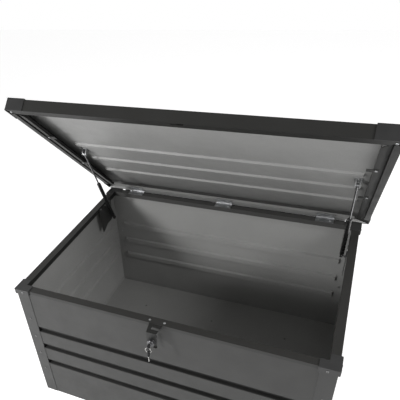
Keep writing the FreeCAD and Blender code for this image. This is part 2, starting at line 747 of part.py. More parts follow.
strut_bracket = wall_bracket()
bracket_screws = []
for forward in bracket_screw_forward:
    place = (plate_x, strut_foot_y - forward, rim_height - frame_sheet - bracket_screw_drop)
    bracket_screws.append(screw(place, (-1, 0, 0), reach=2 * frame_sheet + screw_tip))
    hole = screw_hole(place, (-1, 0, 0))
    strut_bracket = strut_bracket.cut(hole)
    rim_right = rim_right.cut(hole)
    rim_left = rim_left.cut(mirror_x(hole))

stud_neck_radius = 3.0
stud_foot_radius = 6.0
stud_foot = 3.0


def ball_stud_shape():
    """Ball on a neck, turned in one piece along X with a foot against the bracket."""
    reach = plate_x - strut_x
    neck_at = math.sqrt(ball_radius ** 2 - stud_neck_radius ** 2)
    flat_at = -math.sqrt(ball_radius ** 2 - ball_flat ** 2)
    corners = [V(neck_at, 0, stud_neck_radius), V(reach - stud_foot, 0, stud_neck_radius),
               V(reach - stud_foot, 0, stud_foot_radius), V(reach, 0, stud_foot_radius),
               V(reach, 0, 0), V(flat_at, 0, 0), V(flat_at, 0, ball_flat)]
    edges = [Part.makeLine(a, b) for a, b in zip(corners, corners[1:])]
    edges.append(Part.Arc(corners[-1], V(0, 0, ball_radius), corners[0]).toShape())
    stud = Part.Face(Part.Wire(edges)).revolve(V(0, 0, 0), V(1, 0, 0), 360)
    stud.translate(foot)
    return stud


ball_stud = ball_stud_shape()


def ball_socket():
    """Short drum along X round the ball, open towards the wall bracket."""
    back, front = -socket_radius * 0.75, socket_radius * 0.55
    hollow = ball_radius + running_gap
    mouth = 4.3
    lip = math.sqrt(hollow ** 2 - mouth ** 2)
    flat_at = -math.sqrt(hollow ** 2 - ball_flat ** 2)
    start, end = V(flat_at, 0, ball_flat), V(lip, 0, mouth)
    middle = V(0, 0, hollow)
    outline = Part.Wire([
        Part.makeLine(V(back, 0, 0), V(flat_at, 0, 0)), Part.makeLine(V(flat_at, 0, 0), start),
        Part.Arc(start, middle, end).toShape(),
        Part.makeLine(end, V(front, 0, mouth)), Part.makeLine(V(front, 0, mouth), V(front, 0, socket_radius)),
        Part.makeLine(V(front, 0, socket_radius), V(back, 0, socket_radius)),
        Part.makeLine(V(back, 0, socket_radius), V(back, 0, 0))])
    drum = Part.Face(outline).revolve(V(0, 0, 0), V(1, 0, 0), 360)
    drum.translate(foot)
    return drum


def strut_cylinder():
    """Pressure tube with a ball socket at its foot and a bore for the rod."""
    tube_start = foot + strut_dir * collar
    tube = Part.makeCylinder(cylinder_radius, cylinder_length - collar, tube_start, strut_dir)
    ends = [e for e in tube.Edges if e.Length > 2 * math.pi * cylinder_radius - 0.1]
    tube = tube.makeFillet(2.5, ends)
    neck_start = ball_radius + 1.4
    neck = Part.makeCylinder(neck_radius, collar + 2 - neck_start, foot + strut_dir * neck_start, strut_dir)
    bore_depth = cylinder_length - collar - 30.0
    bore = Part.makeCylinder(rod_radius + running_gap, bore_depth + 1,
                             foot + strut_dir * (cylinder_length - bore_depth), strut_dir)
    return join([tube.cut(bore), neck, ball_socket()])


def strut_rod():
    """Rod from inside the tube to a flat eye between the cheeks of the lid bracket."""
    start = foot + strut_dir * (cylinder_length - rod_tail)
    rod = Part.makeCylinder(rod_radius, (head - start).Length - eye_radius * 0.6, start, strut_dir)
    eye = cyl((strut_x - eye_width / 2, head.y, head.z), (1, 0, 0), eye_radius, eye_width)
    ferrule_start = head - strut_dir * (eye_radius + ferrule_length - 2)
    ferrule = Part.makeCylinder(ferrule_radius, ferrule_length, ferrule_start, strut_dir)
    return join([rod, ferrule, eye])


def lid_bracket():
    """Zinc fork under the lid panel; its two pin stubs face the rod's eye."""
    y, z = head_closed.y, head_closed.z
    top = lid_panel_top - panel_sheet
    base = box((strut_x - fork_gap, y - fork_length / 2, top - fork_sheet),
               (strut_x + fork_gap, y + fork_length / 2, top))
    shapes = [base]
    for side in (-1, 1):
        x0 = strut_x + side * fork_gap / 2
        x1 = x0 + side * fork_sheet
        low_x, high_x = min(x0, x1), max(x0, x1)
        shapes.append(prism([(low_x, y - 12, top), (low_x, y + 12, top), (low_x, y + 8, z),
                             (low_x, y + 5, z - 8), (low_x, y - 5, z - 8), (low_x, y - 8, z)],
                            (high_x - low_x, 0, 0)))
        stub = x0 - side * (fork_gap - eye_width - 1.0) / 2
        shapes.append(cyl((min(stub, x1), y, z), (1, 0, 0), fork_pin_radius, abs(x1 - stub)))
    return join(shapes)


fork = lid_bracket()
fork_screws = []
for aside in (-fork_screw_aside, fork_screw_aside):
    place = (strut_x, head_closed.y + aside, lid_panel_top - panel_sheet - fork_sheet)
    fork_screws.append(screw(place, (0, 0, -1), reach=fork_sheet + panel_sheet))
    hole = screw_hole(place, (0, 0, -1), 4.0)
    fork = fork.cut(hole)
    lid_panel = lid_panel.cut([hole, mirror_x(hole)])

# ---- tabs screwed under the flanges of the lid's side profiles -----------------------
tab_places = [(side, forward) for side in (-1, 1) for forward in lid_tab_forward]
lid_tabs = []
tab_screws = []
for side, forward in tab_places:
    y = hinge_y - forward
    inner = lid_x - lid_side_flange - lid_tab_reach
    outer = lid_x - lid_slot_end
    tab = box((inner, y - lid_tab_length / 2, lid_low - frame_sheet),
              (outer, y + lid_tab_length / 2, lid_low))
    place = (lid_x - lid_side_flange + 8.0, y, lid_low - frame_sheet)
    hole = screw_hole(place, (0, 0, -1))
    tab = tab.cut(hole)
    screw_one = screw(place, (0, 0, -1), reach=2 * frame_sheet + screw_tip)
    if side < 0:
        lid_left = lid_left.cut(mirror_x(hole))
        tab, screw_one = mirror_x(tab), mirror_x(screw_one)
    else:
        lid_right = lid_right.cut(hole)
    lid_tabs.append(tab)
    tab_screws.append(screw_one)

lid_cap_screws = []
for x, y in ((-1, -1), (1, -1), (-1, 1), (1, 1)):
    place = (x * (lid_x - lid_cap_screw_inset), y * (lid_y - lid_cap_screw_inset), lid_low)
    lid_cap_screws.append(screw(place, (0, 0, -1), reach=frame_sheet + lid_cap_wall))
    hole = screw_hole(place, (0, 0, -1))
    lid_front, lid_rear = lid_front.cut(hole), lid_rear.cut(hole)
    lid_left, lid_right = lid_left.cut(hole), lid_right.cut(hole)

# ---- write every piece --------------------------------------------------------------
for corner, shape in four_corners(post).items():
    save("post_" + corner, shape)
save("front_panel", front_panel)
save("rear_panel", rear_panel)
save("left_panel", side_panel)
save("right_panel", mirror_x(side_panel))
save("floor_panel", floor_panel)
for place, shape in runners.items():
    save("floor_runner_" + place, shape)
save("floor_screws", solids_of(floor_screws))
save("post_screws", solids_of([c for s in post_screws for c in four_corners(s).values()]))
save("post_nuts", solids_of([c for s in post_nuts for c in four_corners(s).values()]))
save("rim_rail_front", rim_front)
save("rim_rail_rear", rim_rear)
save("rim_rail_left", rim_left)
save("rim_rail_right", rim_right)
for corner, shape in four_corners(rim_cap).items():
    save("rim_cap_" + corner, shape)
save("rim_cap_screws", solids_of([c for s in rim_cap_screws for c in four_corners(s).values()]))

save("lock_plate", lock_plate)
save("lock_barrel", barrel)
save("lock_barrel_nut", barrel_nut)
save("lock_plug", plug)
save("lock_cam", cam)
save("lock_cam_nut", cam_nut)
save("key_blade", key_metal)
save("key_head", key_grip)
save("key_ring", split_ring)
save("spare_key_blade", spare_metal)
save("spare_key_head", spare_grip)

save("hinge_body_leaves", solids_of([placed(body_leaf_one, x) for x in hinge_places.values()]))
save("hinge_lid_leaves", opened(solids_of([placed(lid_leaf_one, x) for x in hinge_places.values()])))
save("hinge_pins", solids_of(hinge_pins))

save("strut_bracket_right", strut_bracket)
save("strut_bracket_left", mirror_x(strut_bracket))
rim_screws = lock_screws + hinge_screws_body + bracket_screws + [mirror_x(s) for s in bracket_screws]
save("rim_screws", solids_of(rim_screws))
save("strut_ball_studs", solids_of([ball_stud, mirror_x(ball_stud)]))
tube_shape, rod_shape = strut_cylinder(), strut_rod()
save("strut_cylinder_right", tube_shape)
save("strut_cylinder_left", mirror_x(tube_shape))
save("strut_rod_right", rod_shape)
save("strut_rod_left", mirror_x(rod_shape))
save("strut_fork_right", opened(fork))
save("strut_fork_left", opened(mirror_x(fork)))

save("lid_profile_front", opened(lid_front))
save("lid_profile_rear", opened(lid_rear))
save("lid_profile_left", opened(lid_left))
save("lid_profile_right", opened(lid_right))
save("lid_panel", opened(lid_panel))
for corner, shape in four_corners(lid_cap).items():
    save("lid_cap_" + corner, opened(shape))
save("lid_tabs", opened(solids_of(lid_tabs)))
save("lid_catch_plate", opened(catch_plate))
lid_screw_solids = (hinge_screws_lid + fork_screws + [mirror_x(s) for s in fork_screws]
                    + tab_screws + lid_cap_screws)
save("lid_screws", opened(solids_of(lid_screw_solids)))

print("strut", "foot", foot, "head", head, "length", round(strut_length, 3),
      "closed length", round((head_closed - foot).Length, 3))
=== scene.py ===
"""Storage chest of powder-coated sheet steel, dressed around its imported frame.

Metres, +X to the chest's right seen from the front, +Y to the back, +Z up.
The sections follow the chest as it is put together, from the ground up to the lid.
"""
import json
import math

import bmesh
import bpy
import numpy as np
from mathutils import Matrix, Vector


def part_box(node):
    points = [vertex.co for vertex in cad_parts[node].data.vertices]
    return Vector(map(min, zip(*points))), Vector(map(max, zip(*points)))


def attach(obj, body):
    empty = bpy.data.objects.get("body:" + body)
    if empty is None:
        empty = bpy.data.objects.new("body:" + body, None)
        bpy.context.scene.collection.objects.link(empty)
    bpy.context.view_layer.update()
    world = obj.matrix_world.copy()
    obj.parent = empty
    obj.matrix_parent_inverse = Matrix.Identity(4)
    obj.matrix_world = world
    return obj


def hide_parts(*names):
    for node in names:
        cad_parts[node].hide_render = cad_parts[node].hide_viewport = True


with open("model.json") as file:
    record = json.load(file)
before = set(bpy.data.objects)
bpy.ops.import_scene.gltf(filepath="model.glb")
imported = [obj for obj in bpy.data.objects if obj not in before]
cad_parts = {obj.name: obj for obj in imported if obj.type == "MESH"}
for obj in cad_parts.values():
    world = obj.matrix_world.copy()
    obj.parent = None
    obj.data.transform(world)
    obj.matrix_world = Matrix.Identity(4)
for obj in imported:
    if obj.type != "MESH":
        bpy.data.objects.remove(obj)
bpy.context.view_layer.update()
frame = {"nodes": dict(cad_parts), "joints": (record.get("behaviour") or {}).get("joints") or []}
scene = bpy.context.scene

# ---- The studio ---------------------------------------------------------------------
# A pale seamless floor, a white surround and two soft lamps. The camera stands in
# front of the chest, to the right of its middle, and looks down into it.
camera_at = Vector((0.515, -1.474, 1.779))
camera_right = Vector((0.9091, 0.4079, -0.0845))
camera_up = Vector((-0.1855, 0.5780, 0.7947))

camera_data = bpy.data.cameras.new("camera")
camera_data.lens = 42.1
camera_data.sensor_width = 36.0
camera_data.shift_x = 0.152
camera_data.shift_y = 0.153
camera_data.clip_start = 0.05
camera = bpy.data.objects.new("camera", camera_data)
scene.collection.objects.link(camera)
turn = Matrix((camera_right, camera_up, camera_right.cross(camera_up))).transposed()
camera.matrix_world = Matrix.Translation(camera_at) @ turn.to_4x4()
scene.camera = camera

surround = bpy.data.worlds.new("surround")
surround.use_nodes = True
sky_nodes, sky_links = surround.node_tree.nodes, surround.node_tree.links
sky_way = sky_nodes.new("ShaderNodeTexCoord")
sky_height = sky_nodes.new("ShaderNodeSeparateXYZ")
sky_fall = sky_nodes.new("ShaderNodeMapRange")
sky_fall.interpolation_type = "SMOOTHSTEP"
sky_fall.inputs["From Min"].default_value = 0.30
sky_fall.inputs["From Max"].default_value = 0.75
sky_fall.inputs["To Min"].default_value = 1.0
sky_fall.inputs["To Max"].default_value = 0.30
sky_links.new(sky_way.outputs["Generated"], sky_height.inputs["Vector"])
sky_links.new(sky_height.outputs["Z"], sky_fall.inputs["Value"])
sky_links.new(sky_fall.outputs["Result"], sky_nodes["Background"].inputs["Color"])
sky_nodes["Background"].inputs["Strength"].default_value = 1.0
scene.world = surround
scene.view_settings.view_transform = "Standard"


def soft_lamp(name, place, aim, diameter, power):
    data = bpy.data.lights.new(name, "AREA")
    data.shape = "DISK"
    data.size = diameter
    data.energy = power
    lamp = bpy.data.objects.new(name, data)
    scene.collection.objects.link(lamp)
    lamp.location = place
    lamp.rotation_euler = (Vector(aim) - Vector(place)).to_track_quat("-Z", "Y").to_euler()


soft_lamp("front_lamp", (-1.5, -2.1, 1.4), (-0.3, 0.2, 0.6), 0.5, 50.0)
soft_lamp("right_lamp", (3.4, -0.7, 2.8), (-0.5, 0.1, 0.4), 1.6, 92.0)

floor_size = 14.0
floor_mesh = bpy.data.meshes.new("studio_floor")
reach = floor_size / 2
floor_points = [(-reach, -reach, 0), (reach, -reach, 0), (reach, reach, 0), (-reach, reach, 0)]
floor_mesh.from_pydata(floor_points, [], [(0, 1, 2, 3)])
studio_floor = bpy.data.objects.new("studio_floor", floor_mesh)
scene.collection.objects.link(studio_floor)
floor_paint = bpy.data.materials.new("studio_floor_paint")
floor_paint.use_nodes = True
floor_shader = floor_paint.node_tree.nodes["Principled BSDF"]
floor_shader.inputs["Base Color"].default_value = (0.80, 0.80, 0.80, 1.0)
floor_shader.inputs["Roughness"].default_value = 0.9
floor_shader.inputs["Emission Color"].default_value = (1.0, 1.0, 1.0, 1.0)
floor_shader.inputs["Emission Strength"].default_value = 0.55
floor_mesh.materials.append(floor_paint)


# ---- Corner posts -------------------------------------------------------------------
# Angle posts bent from 1.5 mm sheet, powder-coated in a dark grey with a fine grain.
# The coat has the faint orange peel of baked powder and is duller where dust settles.
noise_low = 0.3                # most values of a noise texture lie between these two
noise_high = 0.7
side_blend = 0.05              # cosine over which the outer coat passes into the back coat
dust_from = 0.5                # cosine to the vertical from which dust can lie
dust_colour = (0.36, 0.35, 0.33)


def noise(nodes, links, coords, scale, detail=2.0, stretch=None):
    texture = nodes.new("ShaderNodeTexNoise")
    texture.inputs["Scale"].default_value = scale
    texture.inputs["Detail"].default_value = detail
    if stretch:
        mapping = nodes.new("ShaderNodeMapping")
        mapping.inputs["Scale"].default_value = stretch
        links.new(coords.outputs["Object"], mapping.inputs["Vector"])
        links.new(mapping.outputs["Vector"], texture.inputs["Vector"])
    else:
        links.new(coords.outputs["Object"], texture.inputs["Vector"])
    return texture


def tint_range(nodes, links, factor, colour, spread):
    """Colour that wanders a little darker and lighter than `colour`."""
    ramp = nodes.new("ShaderNodeValToRGB")
    ramp.color_ramp.elements[0].position = noise_low
    ramp.color_ramp.elements[1].position = noise_high
    ramp.color_ramp.elements[0].color = [c * (1 - spread) for c in colour] + [1.0]
    ramp.color_ramp.elements[1].color = [c * (1 + spread) for c in colour] + [1.0]
    links.new(factor, ramp.inputs["Fac"])
    return ramp.outputs["Color"]


def map_range(nodes, links, value, from_low, from_high, to_low=0.0, to_high=1.0):
    ranged = nodes.new("ShaderNodeMapRange")
    ranged.inputs["From Min"].default_value = from_low
    ranged.inputs["From Max"].default_value = from_high
    ranged.inputs["To Min"].default_value = to_low
    ranged.inputs["To Max"].default_value = to_high
    links.new(value, ranged.inputs["Value"])
    return ranged.outputs["Result"]


def value_range(nodes, links, factor, low, high):
    """A noise texture's factor, spread over `low` to `high`."""
    return map_range(nodes, links, factor, noise_low, noise_high, low, high)


def grain_bump(nodes, links, height, strength, distance):
    bump = nodes.new("ShaderNodeBump")
    bump.inputs["Strength"].default_value = strength
    bump.inputs["Distance"].default_value = distance
    links.new(height, bump.inputs["Height"])
    return bump


def along(nodes, links, vector, way):
    """How far a vector points along `way`."""
    dot = nodes.new("ShaderNodeVectorMath")
    dot.operation = "DOT_PRODUCT"
    dot.inputs[1].default_value = way
    links.new(vector, dot.inputs[0])
    return dot.outputs["Value"]


def mixed(nodes, links, factor, first, second):
    mix = nodes.new("ShaderNodeMix")
    mix.data_type = "RGBA"
    links.new(factor, mix.inputs["Factor"])
    for socket, colour in ((mix.inputs["A"], first), (mix.inputs["B"], second)):
        if isinstance(colour, tuple):
            socket.default_value = (*colour, 1.0)
        else:
            links.new(colour, socket)
    return mix.outputs["Result"]


def powder_coat(name, colour, rough=(0.40, 0.52), peel=0.25, dust=0.10, spread=0.05,
                inside=None, outward=None, shade=None, gloss=0.32):
    """Baked powder coat: fine peel, slight mottling and a breath of dust on upward faces.

    With `inside`, faces that look away from `outward` carry that lighter back coat.
    With `shade` = (colour, from, to), outer faces sunk that far back along `outward` take that colour as
    painted shade.
    """
    coat = bpy.data.materials.new(name)
    coat.use_nodes = True
    nodes, links = coat.node_tree.nodes, coat.node_tree.links
    shader = nodes["Principled BSDF"]
    coords = nodes.new("ShaderNodeTexCoord")
    cloud = noise(nodes, links, coords, scale=5.0, detail=4.0)
    speck = noise(nodes, links, coords, scale=900.0, detail=1.0)
    base = tint_range(nodes, links, cloud.outputs["Fac"], colour, spread)
    if shade:
        # Painted shade: faces sunk behind the sheet's face take the darker colour.
        recess, start, end = shade
        depth = along(nodes, links, coords.outputs["Object"], outward)
        base = mixed(nodes, links, map_range(nodes, links, depth, start, end), recess, base)
    if inside:
        back = tint_range(nodes, links, cloud.outputs["Fac"], inside, spread)
        facing_out = along(nodes, links, coords.outputs["Normal"], outward)
        side = map_range(nodes, links, facing_out, -side_blend, side_blend)
        base = mixed(nodes, links, side, back, base)
    sparkle = nodes.new("ShaderNodeMix")
    sparkle.data_type = "RGBA"
    sparkle.blend_type = "OVERLAY"
    sparkle.inputs["Factor"].default_value = 0.25
    links.new(base, sparkle.inputs["A"])
    links.new(speck.outputs["Fac"], sparkle.inputs["B"])
    facing_up = along(nodes, links, coords.outputs["Normal"], (0.0, 0.0, 1.0))
    settled = map_range(nodes, links, facing_up, dust_from, 1.0, 0.0, dust)
    dusty = mixed(nodes, links, settled, sparkle.outputs["Result"], dust_colour)
    links.new(dusty, shader.inputs["Base Color"])
    smudge = noise(nodes, links, coords, scale=14.0, detail=3.0)
    links.new(value_range(nodes, links, smudge.outputs["Fac"], *rough), shader.inputs["Roughness"])
    orange_peel = noise(nodes, links, coords, scale=420.0, detail=2.0)
    bump = grain_bump(nodes, links, orange_peel.outputs["Fac"], strength=peel, distance=0.0002)
    links.new(bump.outputs["Normal"], shader.inputs["Normal"])
    shader.inputs["Specular IOR Level"].default_value = gloss
    return coat


def dress(material, *names):
    """Gives CAD nodes their finish through their own material slots."""
    for name in names:
        piece = frame["nodes"][name]
        for place in piece.material_slots:
            place.link = "OBJECT"
            place.material = material


corners = ("front_left", "front_right", "rear_left", "rear_right")
post_coat = powder_coat("post_coat", (0.030, 0.030, 0.0294), dust=0.04)
dress(post_coat, *["post_" + corner for corner in corners])

# ---- Wall panels --------------------------------------------------------------------
# One sheet to each side, stiffened by three long grooves pressed inwards. Pre-coated
# coil: dark grey outside and a lighter grey back coat inside. Painted shade darkens the grooves.
wall_grey = (0.028, 0.028, 0.027)
# Painted shade: the grooves' colour stands in for the shadow inside them.
groove_painted_shade = (0.0055, 0.0055, 0.0052)
back_grey = (0.258, 0.258, 0.252)
groove_shade_from = 0.0040      # metres behind the sheet's face
groove_shade_to = 0.0008
for wall, outward in (("front", (0, -1, 0)), ("rear", (0, 1, 0)),
                      ("left", (-1, 0, 0)), ("right", (1, 0, 0))):
    low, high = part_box(wall + "_panel")
    face = max(Vector(low).dot(outward), Vector(high).dot(outward))
    wall_coat = powder_coat(wall + "_wall_coat", wall_grey, rough=(0.42, 0.55), dust=0.0,
                            inside=back_grey, outward=outward,
                            shade=(groove_painted_shade, face - groove_shade_from, face - groove_shade_to))
    dress(wall_coat, wall + "_panel")

# ---- Floor and its runners ----------------------------------------------------------
# A tray of thin sheet screwed down on three hat-section runners, all in a light grey near
# that of the walls' back coat.
tray_coat = powder_coat("tray_coat", (0.25, 0.25, 0.244), rough=(0.5, 0.65), dust=0.04)
dress(tray_coat, "floor_panel", "floor_runner_front", "floor_runner_centre", "floor_runner_rear")

# ---- Rim rails and lid profiles -----------------------------------------------------
# Roll-formed channels in a darker anthracite that frame the opening and the lid.
# The rim rails' outer skirts carry the walls' grey. Their darker tops are partly the anthracite
# and partly painted shade, and the rear rail is painted a little lighter, a painted light.
rail_grey = (0.015, 0.015, 0.0142)
# Painted light: the rear rail's lighter grey stands in for more light falling on it.
rear_rail_lit_grey = (0.050, 0.050, 0.0485)
rail_coat = powder_coat("rail_coat", rail_grey, rough=(0.45, 0.55), dust=0.03, gloss=0.2)
dress(rail_coat, "lid_profile_front", "lid_profile_left", "lid_profile_right", "lid_tabs")
for side, inward in (("front", (0, 1, 1)), ("rear", (0, -1, 1)),
                     ("left", (1, 0, 1)), ("right", (-1, 0, 1))):
    top_grey = rear_rail_lit_grey if side == "rear" else rail_grey
    # Painted shade: tops and inner faces take the darker grey, the outer skirts the wall grey.
    rim_coat = powder_coat(side + "_rim_coat", top_grey, rough=(0.45, 0.55), dust=0.04,
                           inside=wall_grey, outward=inward, gloss=0.2)
    dress(rim_coat, "rim_rail_" + side)

# ---- Lid panel ----------------------------------------------------------------------
# The lid's sheet has three pressed ridges along it. It is in the walls' grey outside and in
# a lighter back coat inside, and so is the profile along its rear edge, whose back coat is
# painted lighter still as painted light on the shaded strip by the hinge.
lid_outward = (0.0, 0.70711, 0.70711)
lid_coat = powder_coat("lid_coat", wall_grey, rough=(0.42, 0.54), inside=(0.215, 0.215, 0.211),
                       outward=lid_outward)
dress(lid_coat, "lid_panel")
# Painted light: a back coat lighter than the lid panel's lifts the shaded strip by the hinge.
lid_rear_coat = powder_coat("lid_rear_coat", (0.028, 0.028, 0.0265), rough=(0.42, 0.54),
                            inside=(0.30, 0.30, 0.294), outward=lid_outward, dust=0.02)
dress(lid_rear_coat, "lid_profile_rear")


# ---- Corner caps --------------------------------------------------------------------
# Moulded black-grey plastic with a fine spark-eroded texture, over every corner of the
# rim and of the lid. The one plastic is painted lighter on the rim caps and darker on the
# lid caps, as painted light and painted shade.
def moulded(name, colour, rough, grain=1500.0, depth=0.00012, strength=0.5):
    plastic = bpy.data.materials.new(name)
    plastic.use_nodes = True
    nodes, links = plastic.node_tree.nodes, plastic.node_tree.links
    shader = nodes["Principled BSDF"]
    coords = nodes.new("ShaderNodeTexCoord")
    cloud = noise(nodes, links, coords, scale=22.0, detail=3.0)
    tint = tint_range(nodes, links, cloud.outputs["Fac"], colour, spread=0.08)
    links.new(tint, shader.inputs["Base Color"])
    sheen = value_range(nodes, links, cloud.outputs["Fac"], rough - 0.05, rough + 0.05)
    links.new(sheen, shader.inputs["Roughness"])
    pits = noise(nodes, links, coords, scale=grain, detail=1.0)
    bump = grain_bump(nodes, links, pits.outputs["Fac"], strength, depth)
    links.new(bump.outputs["Normal"], shader.inputs["Normal"])
    shader.inputs["Specular IOR Level"].default_value = 0.4
    return plastic


# Painted light and shade: one plastic, lighter on the rim caps and darker on the lid caps.
rim_cap_plastic = moulded("rim_cap_plastic", (0.029, 0.029, 0.029), 0.55)
lid_cap_plastic = moulded("lid_cap_plastic", (0.016, 0.016, 0.016), 0.55)
dress(rim_cap_plastic, *["rim_cap_" + corner for corner in corners])
dress(lid_cap_plastic, *["lid_cap_" + corner for corner in corners])


# ---- Hinges and lid forks -----------------------------------------------------------
# Pressed steel, bright zinc plated: a cloudy pale grey with fine scratches. The forks that
# hold the struts to the lid are plated alike.
def plated(name, colour, rough, streak=(1.0, 1.0, 1.0), spread=0.12, scale=60.0):
    plate = bpy.data.materials.new(name)
    plate.use_nodes = True
    nodes, links = plate.node_tree.nodes, plate.node_tree.links
    shader = nodes["Principled BSDF"]
    shader.inputs["Metallic"].default_value = 1.0
    coords = nodes.new("ShaderNodeTexCoord")
    cloud = noise(nodes, links, coords, scale, detail=3.0, stretch=streak)
    tint = tint_range(nodes, links, cloud.outputs["Fac"], colour, spread)
    links.new(tint, shader.inputs["Base Color"])
    sheen = value_range(nodes, links, cloud.outputs["Fac"], rough * 0.8, rough * 1.25)
    links.new(sheen, shader.inputs["Roughness"])
    scratch = noise(nodes, links, coords, scale * 8, detail=1.0, stretch=streak)
    bump = grain_bump(nodes, links, scratch.outputs["Fac"], strength=0.15, distance=0.0001)
    links.new(bump.outputs["Normal"], shader.inputs["Normal"])
    return plate


zinc = plated("zinc_plate", (0.40, 0.405, 0.41), 0.46)
dress(zinc, "hinge_body_leaves", "hinge_lid_leaves", "hinge_pins", "strut_fork_left", "strut_fork_right",
      "lock_cam_nut")


# ---- Screws and nuts ----------------------------------------------------------------
# Pan-head machine screws with a six-lobed drive, pressed from wire and zinc plated. Those
# of the posts and the rim caps pass through to hexagon nuts inside the chest.
def loose_parts(node):
    """The separate solids of a CAD node, each as a list of its points."""
    work = bmesh.new()
    work.from_mesh(frame["nodes"][node].data)
    bmesh.ops.remove_doubles(work, verts=work.verts, dist=1e-6)
    seen, parts = set(), []
    for start in work.verts:
        if start in seen:
            continue
        seen.add(start)
        part, waiting = [], [start]
        while waiting:
            vertex = waiting.pop()
            part.append(vertex.co.copy())
            for edge in vertex.link_edges:
                other = edge.other_vert(vertex)
                if other not in seen:
                    seen.add(other)
                    waiting.append(other)
        parts.append(part)
    work.free()
    return parts


def turning_axis(points):
    """Centre and axis of a turned piece: of its main directions, the axis is the odd one out."""
    cloud = np.array(points)
    centre = cloud.mean(axis=0)
    values, ways = np.linalg.eigh(np.cov((cloud - centre).T))
    odd = 2 if values[2] - values[1] > values[1] - values[0] else 0
    return Vector(centre), Vector(ways[:, odd])


head_reach = 0.0043        # points farther than this from the axis belong to a screw's head


def screw_seats(node):
    """(seat, outward way, shank length) of every screw of a node."""
    seats = []
    for part in loose_parts(node):
        centre, way = turning_axis(part)
        heights = [(p - centre).dot(way) for p in part]
        wide = [h for p, h in zip(part, heights) if (p - centre - way * h).length > head_reach]
        if max(heights) - max(wide) > min(wide) - min(heights):
            way, heights, wide = -way, [-h for h in heights], [-h for h in wide]
        seats.append((centre + way * min(wide), way, min(wide) - min(heights)))
    return seats


def nut_seats(node):
    """(seat, way into the chest) of every nut of a node."""
    seats = []
    for part in loose_parts(node):
        centre, way = turning_axis(part)
        if centre.dot(way) > 0:
            way = -way
        seats.append((centre + way * min((p - centre).dot(way) for p in part), way))
    return seats


segments = 24                  # points around every turned piece


def ringed(name, rings, looped=False):
    """Mesh through rings of points, each (radius or its rule by angle, height).

    The first and last ring are closed by a face, or joined to each other when `looped`.
    """
    shape = bmesh.new()
    loops = []
    for radius, height in rings:
        loop = []
        for i in range(segments):
            angle = 2 * math.pi * i / segments
            r = radius(angle) if callable(radius) else radius
            loop.append(shape.verts.new((r * math.cos(angle), r * math.sin(angle), height)))
        loops.append(loop)
    pairs = list(zip(loops, loops[1:]))
    if looped:
        pairs.append((loops[-1], loops[0]))
    for lower, upper in pairs:
        for i in range(segments):
            j = (i + 1) % segments
            shape.faces.new((lower[i], lower[j], upper[j], upper[i]))
    if not looped:
        shape.faces.new(list(reversed(loops[0])))
        shape.faces.new(loops[-1])
    mesh = bpy.data.meshes.new(name)
    bmesh.ops.recalc_face_normals(shape, faces=shape.faces)
    shape.to_mesh(mesh)
    shape.free()
    return mesh


shank_radius = 0.0020
shank_tip_radius = 0.0017
shank_chamfer = 0.0003
head_radius = 0.0045
head_height = 0.0022
drive_radius = 0.0019
drive_lobe = 0.00035
drive_floor = 0.0009           # above the head's seat


def six_lobes(angle):
    return drive_radius + drive_lobe * math.cos(6 * angle)


def screw_blank(name, shank):
    """Pan-head screw seated at height 0, its shank below."""
    return ringed(name, [(shank_tip_radius, -shank), (shank_radius, -shank + shank_chamfer),
                         (shank_radius, 0.0), (head_radius, 0.0), (head_radius, 0.0007),
                         (0.0042, 0.0014), (0.0036, 0.0019), (0.0028, head_height),
                         (six_lobes, head_height), (six_lobes, drive_floor)])


nut_bore_radius = 0.0021
nut_flat = 0.0035              # from the nut's axis to a flat
nut_shoulder = 0.0020          # height at which the corners start to be rounded off
nut_height = 0.0024


def hexagon(angle):
    return nut_flat / math.cos((angle + math.pi / 6) % (math.pi / 3) - math.pi / 6)


def nut_blank(name):
    return ringed(name, [(nut_bore_radius, 0.0), (hexagon, 0.0), (hexagon, nut_shoulder),
                         (nut_flat, nut_height), (nut_bore_radius, nut_height)], looped=True)


